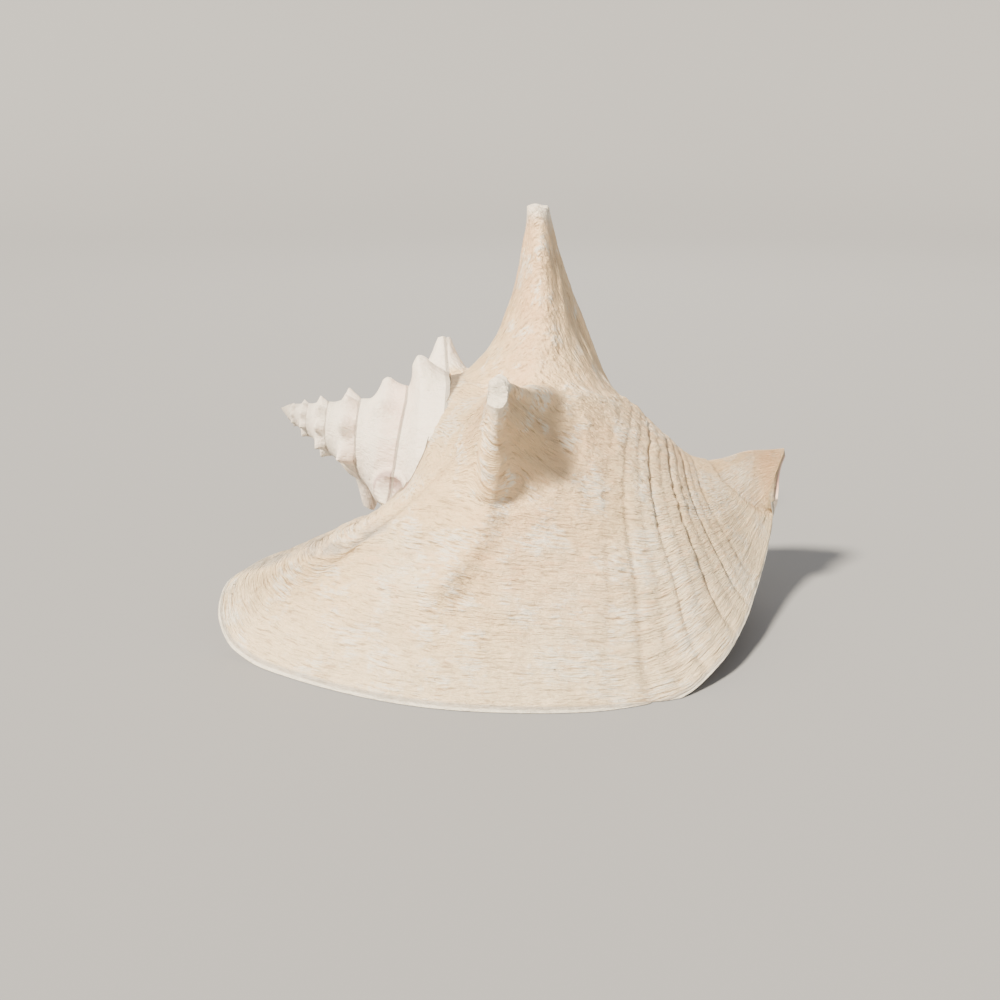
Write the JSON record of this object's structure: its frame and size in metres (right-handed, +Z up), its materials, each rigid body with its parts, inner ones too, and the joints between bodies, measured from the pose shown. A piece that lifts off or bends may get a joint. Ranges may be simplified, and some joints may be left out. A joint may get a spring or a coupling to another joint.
{
  "type": "conch shell",
  "caption": "Large spiral sea shell with a knobbed spire, worn shoulder spines, a wide flared lip and a narrow aperture, lying on its lip.",
  "frame": {"origin": "middle of the bounding box on the surface that the shell rests on", "axes": "+Z up, the spire towards -X, the flared lip towards -Y"},
  "size_m": [0.2272, 0.1884, 0.1591],
  "materials": {
    "shell": "dry chalky shell, ivory with pale peach, white where worn"
  },
  "bodies": {
    "root": {"conch_shell": "shell"}
  },
  "joints": []
}
